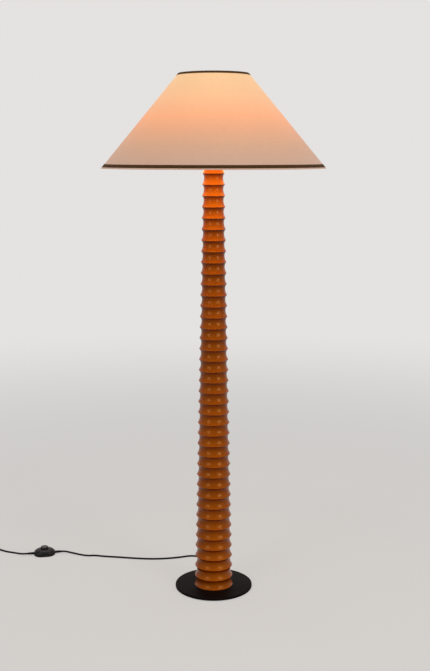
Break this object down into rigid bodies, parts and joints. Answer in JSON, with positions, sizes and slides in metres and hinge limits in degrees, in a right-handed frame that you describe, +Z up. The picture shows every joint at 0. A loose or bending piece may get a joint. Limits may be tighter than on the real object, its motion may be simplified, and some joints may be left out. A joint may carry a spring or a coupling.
{
  "type": "floor lamp",
  "caption": "Candlestick floor lamp: a tapering turned wooden column on a thin round foot, with a wide cone shade, bulb, cord with foot switch and plug.",
  "frame": {"origin": "centre of the base's underside, on the floor under the column's axis", "axes": "+Z up along the column's axis, +Y to the back where the cord leaves the column, -X towards the foot switch and plug"},
  "size_m": [1.1386, 0.6378, 1.5477],
  "materials": {
    "lacquered_wood": "turned wood under clear honey lacquer",
    "black_metal": "satin black paint",
    "felt": "black felt pad",
    "steel": "plain zinc-plated steel",
    "brass": "lacquered brass",
    "black_plastic": "moulded black plastic",
    "cord_black": "soft black sheath",
    "porcelain": "white insulating ceramic",
    "insulator_black": "black glass insulator",
    "nickel": "plated sheet metal",
    "bulb_glass": "frosted white",
    "shade_fabric": "off-white fabric on a stiff liner",
    "trim_fabric": "dark brown ribbon",
    "white_wire": "white coated wire"
  },
  "bodies": {
    "stand": {"base_plate": "black_metal", "base_pad": "felt", "base_screws": "steel", "column": "lacquered_wood", "cord_outlet": "black_plastic", "column_lead": "cord_black", "fixing_plate": "steel", "fixing_screws": "steel", "nipple": "steel", "lock_nut": "steel", "column_cap": "brass", "neck_sleeve": "brass", "holder_cap": "black_plastic", "holder_shell": "black_plastic", "holder_insert": "porcelain", "holder_screw_shell": "brass", "holder_contact": "brass", "shade_seat_ring": "black_plastic", "shade_nut": "black_plastic", "switch_base": "black_plastic", "switch_cover": "black_plastic", "switch_screws": "steel", "switch_reliefs": "cord_black", "switch_block": "porcelain", "switch_spring": "steel", "cord_coil": "cord_black", "coil_tie": "black_plastic", "plug_body": "black_plastic", "plug_relief": "cord_black", "plug_pins": "nickel", "cord_lamp_to_switch": "cord_black", "cord_switch_to_coil": "cord_black", "cord_coil_to_plug": "cord_black"},
    "shade": {"shade_cover": "shade_fabric", "shade_top_wire": "white_wire", "shade_bottom_wire": "white_wire", "shade_top_trim": "trim_fabric", "shade_bottom_trim": "trim_fabric", "shade_spider": "white_wire"},
    "bulb_foot": {"bulb_contact": "nickel"},
    "bulb": {"bulb_insulator": "insulator_black", "bulb_cap": "nickel", "bulb_glass": "bulb_glass"},
    "switch_button": {"switch_button": "black_plastic"}
  },
  "joints": [
    {"name": "shade_turn", "type": "hinge", "parent": "stand", "child": "shade", "pos_m": [0, 0, 1.434], "axis": [0, 0, 1], "continuous": true},
    {"name": "bulb_rise", "type": "slide", "parent": "stand", "child": "bulb_foot", "axis": [0, 0, 1], "range_m": [0, 0.024]},
    {"name": "bulb_turn", "type": "hinge", "parent": "bulb_foot", "child": "bulb", "pos_m": [0, 0, 1.45], "axis": [0, 0, 1], "range_deg": [0, 2376]},
    {"name": "switch_press", "type": "slide", "parent": "stand", "child": "switch_button", "axis": [0, 0, -1], "range_m": [0, 0.003], "stiffness_N_per_m": 600, "deforming": ["switch_spring"]}
  ],
  "couplings": [
    {"joint": "bulb_rise", "follows": "bulb_turn", "m_per_rad": 0.00057757}
  ]
}
